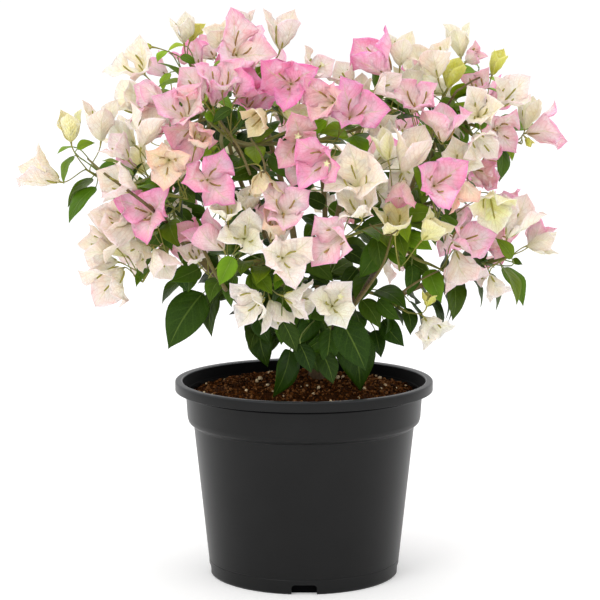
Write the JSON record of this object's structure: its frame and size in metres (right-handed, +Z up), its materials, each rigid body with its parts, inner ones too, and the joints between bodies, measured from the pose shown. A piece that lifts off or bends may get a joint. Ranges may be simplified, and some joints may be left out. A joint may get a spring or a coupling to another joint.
{
  "type": "potted bougainvillea",
  "caption": "Bushy flowering bougainvillea with pink and cream papery bracts on woody stems, rooted in the soil of a round tapered plastic nursery pot.",
  "frame": {"origin": "on the ground under the middle of the pot", "axes": "+Z up, +X to the right and +Y away from whoever looks at the front of the plant"},
  "size_m": [0.4999, 0.4456, 0.5481],
  "materials": {
    "pot": "matt moulded plastic",
    "soil": "loose damp coir crumbs with perlite",
    "bark": "rough bark",
    "foliage": "smooth living leaves and stems",
    "bract_pink": "papery bracts",
    "bract_cream": "papery bracts",
    "bract_peach": "papery bracts"
  },
  "bodies": {
    "root": {"limb_back_left": "foliage", "limb_back_middle": "foliage", "limb_back_right": "foliage", "limb_front": "foliage", "limb_left": "foliage", "limb_left_back": "foliage", "limb_right": "foliage", "limb_right_low": "foliage", "limb_upper_left": "foliage", "limb_upper_middle": "foliage", "limb_upper_right": "foliage", "pot": "pot", "soil": "soil", "spray_crown_middle": "bract_pink", "spray_crown_top": "bract_pink", "spray_far_left": "bract_cream", "spray_heart_high": "bract_pink", "spray_left_bright": "bract_pink", "spray_left_dusky": "bract_pink", "spray_left_high": "bract_cream", "spray_left_inner": "bract_pink", "spray_left_low": "bract_cream", "spray_left_middle": "bract_peach", "spray_left_pink": "bract_pink", "spray_left_shoulder": "bract_pink", "spray_low_middle": "bract_cream", "spray_low_right": "bract_cream", "spray_low_white": "bract_cream", "spray_middle_bud": "bract_cream", "spray_middle_cream": "bract_cream", "spray_middle_front": "bract_cream", "spray_middle_pink": "bract_pink", "spray_right_cream": "bract_cream", "spray_right_edge": "bract_pink", "spray_right_far": "bract_pink", "spray_right_front": "bract_cream", "spray_right_high": "bract_pink", "spray_right_low_pink": "bract_pink", "spray_right_peak": "bract_cream", "spray_right_pink": "bract_pink", "spray_right_shoulder": "bract_pink", "spray_right_tip": "bract_cream", "spray_right_yellow": "bract_cream", "spray_round_01": "bract_pink", "spray_round_02": "bract_cream", "spray_round_03": "bract_pink", "spray_round_04": "bract_cream", "spray_round_05": "bract_pink", "spray_round_06": "bract_cream", "spray_round_07": "bract_pink", "spray_round_08": "bract_cream", "spray_round_09": "bract_pink", "spray_round_10": "bract_cream", "spray_round_11": "bract_pink", "spray_round_12": "bract_cream", "spray_round_13": "bract_pink", "spray_round_14": "bract_cream", "spray_round_15": "bract_pink", "spray_upper_left_tip": "bract_cream", "trunk": "bark"}
  },
  "joints": []
}
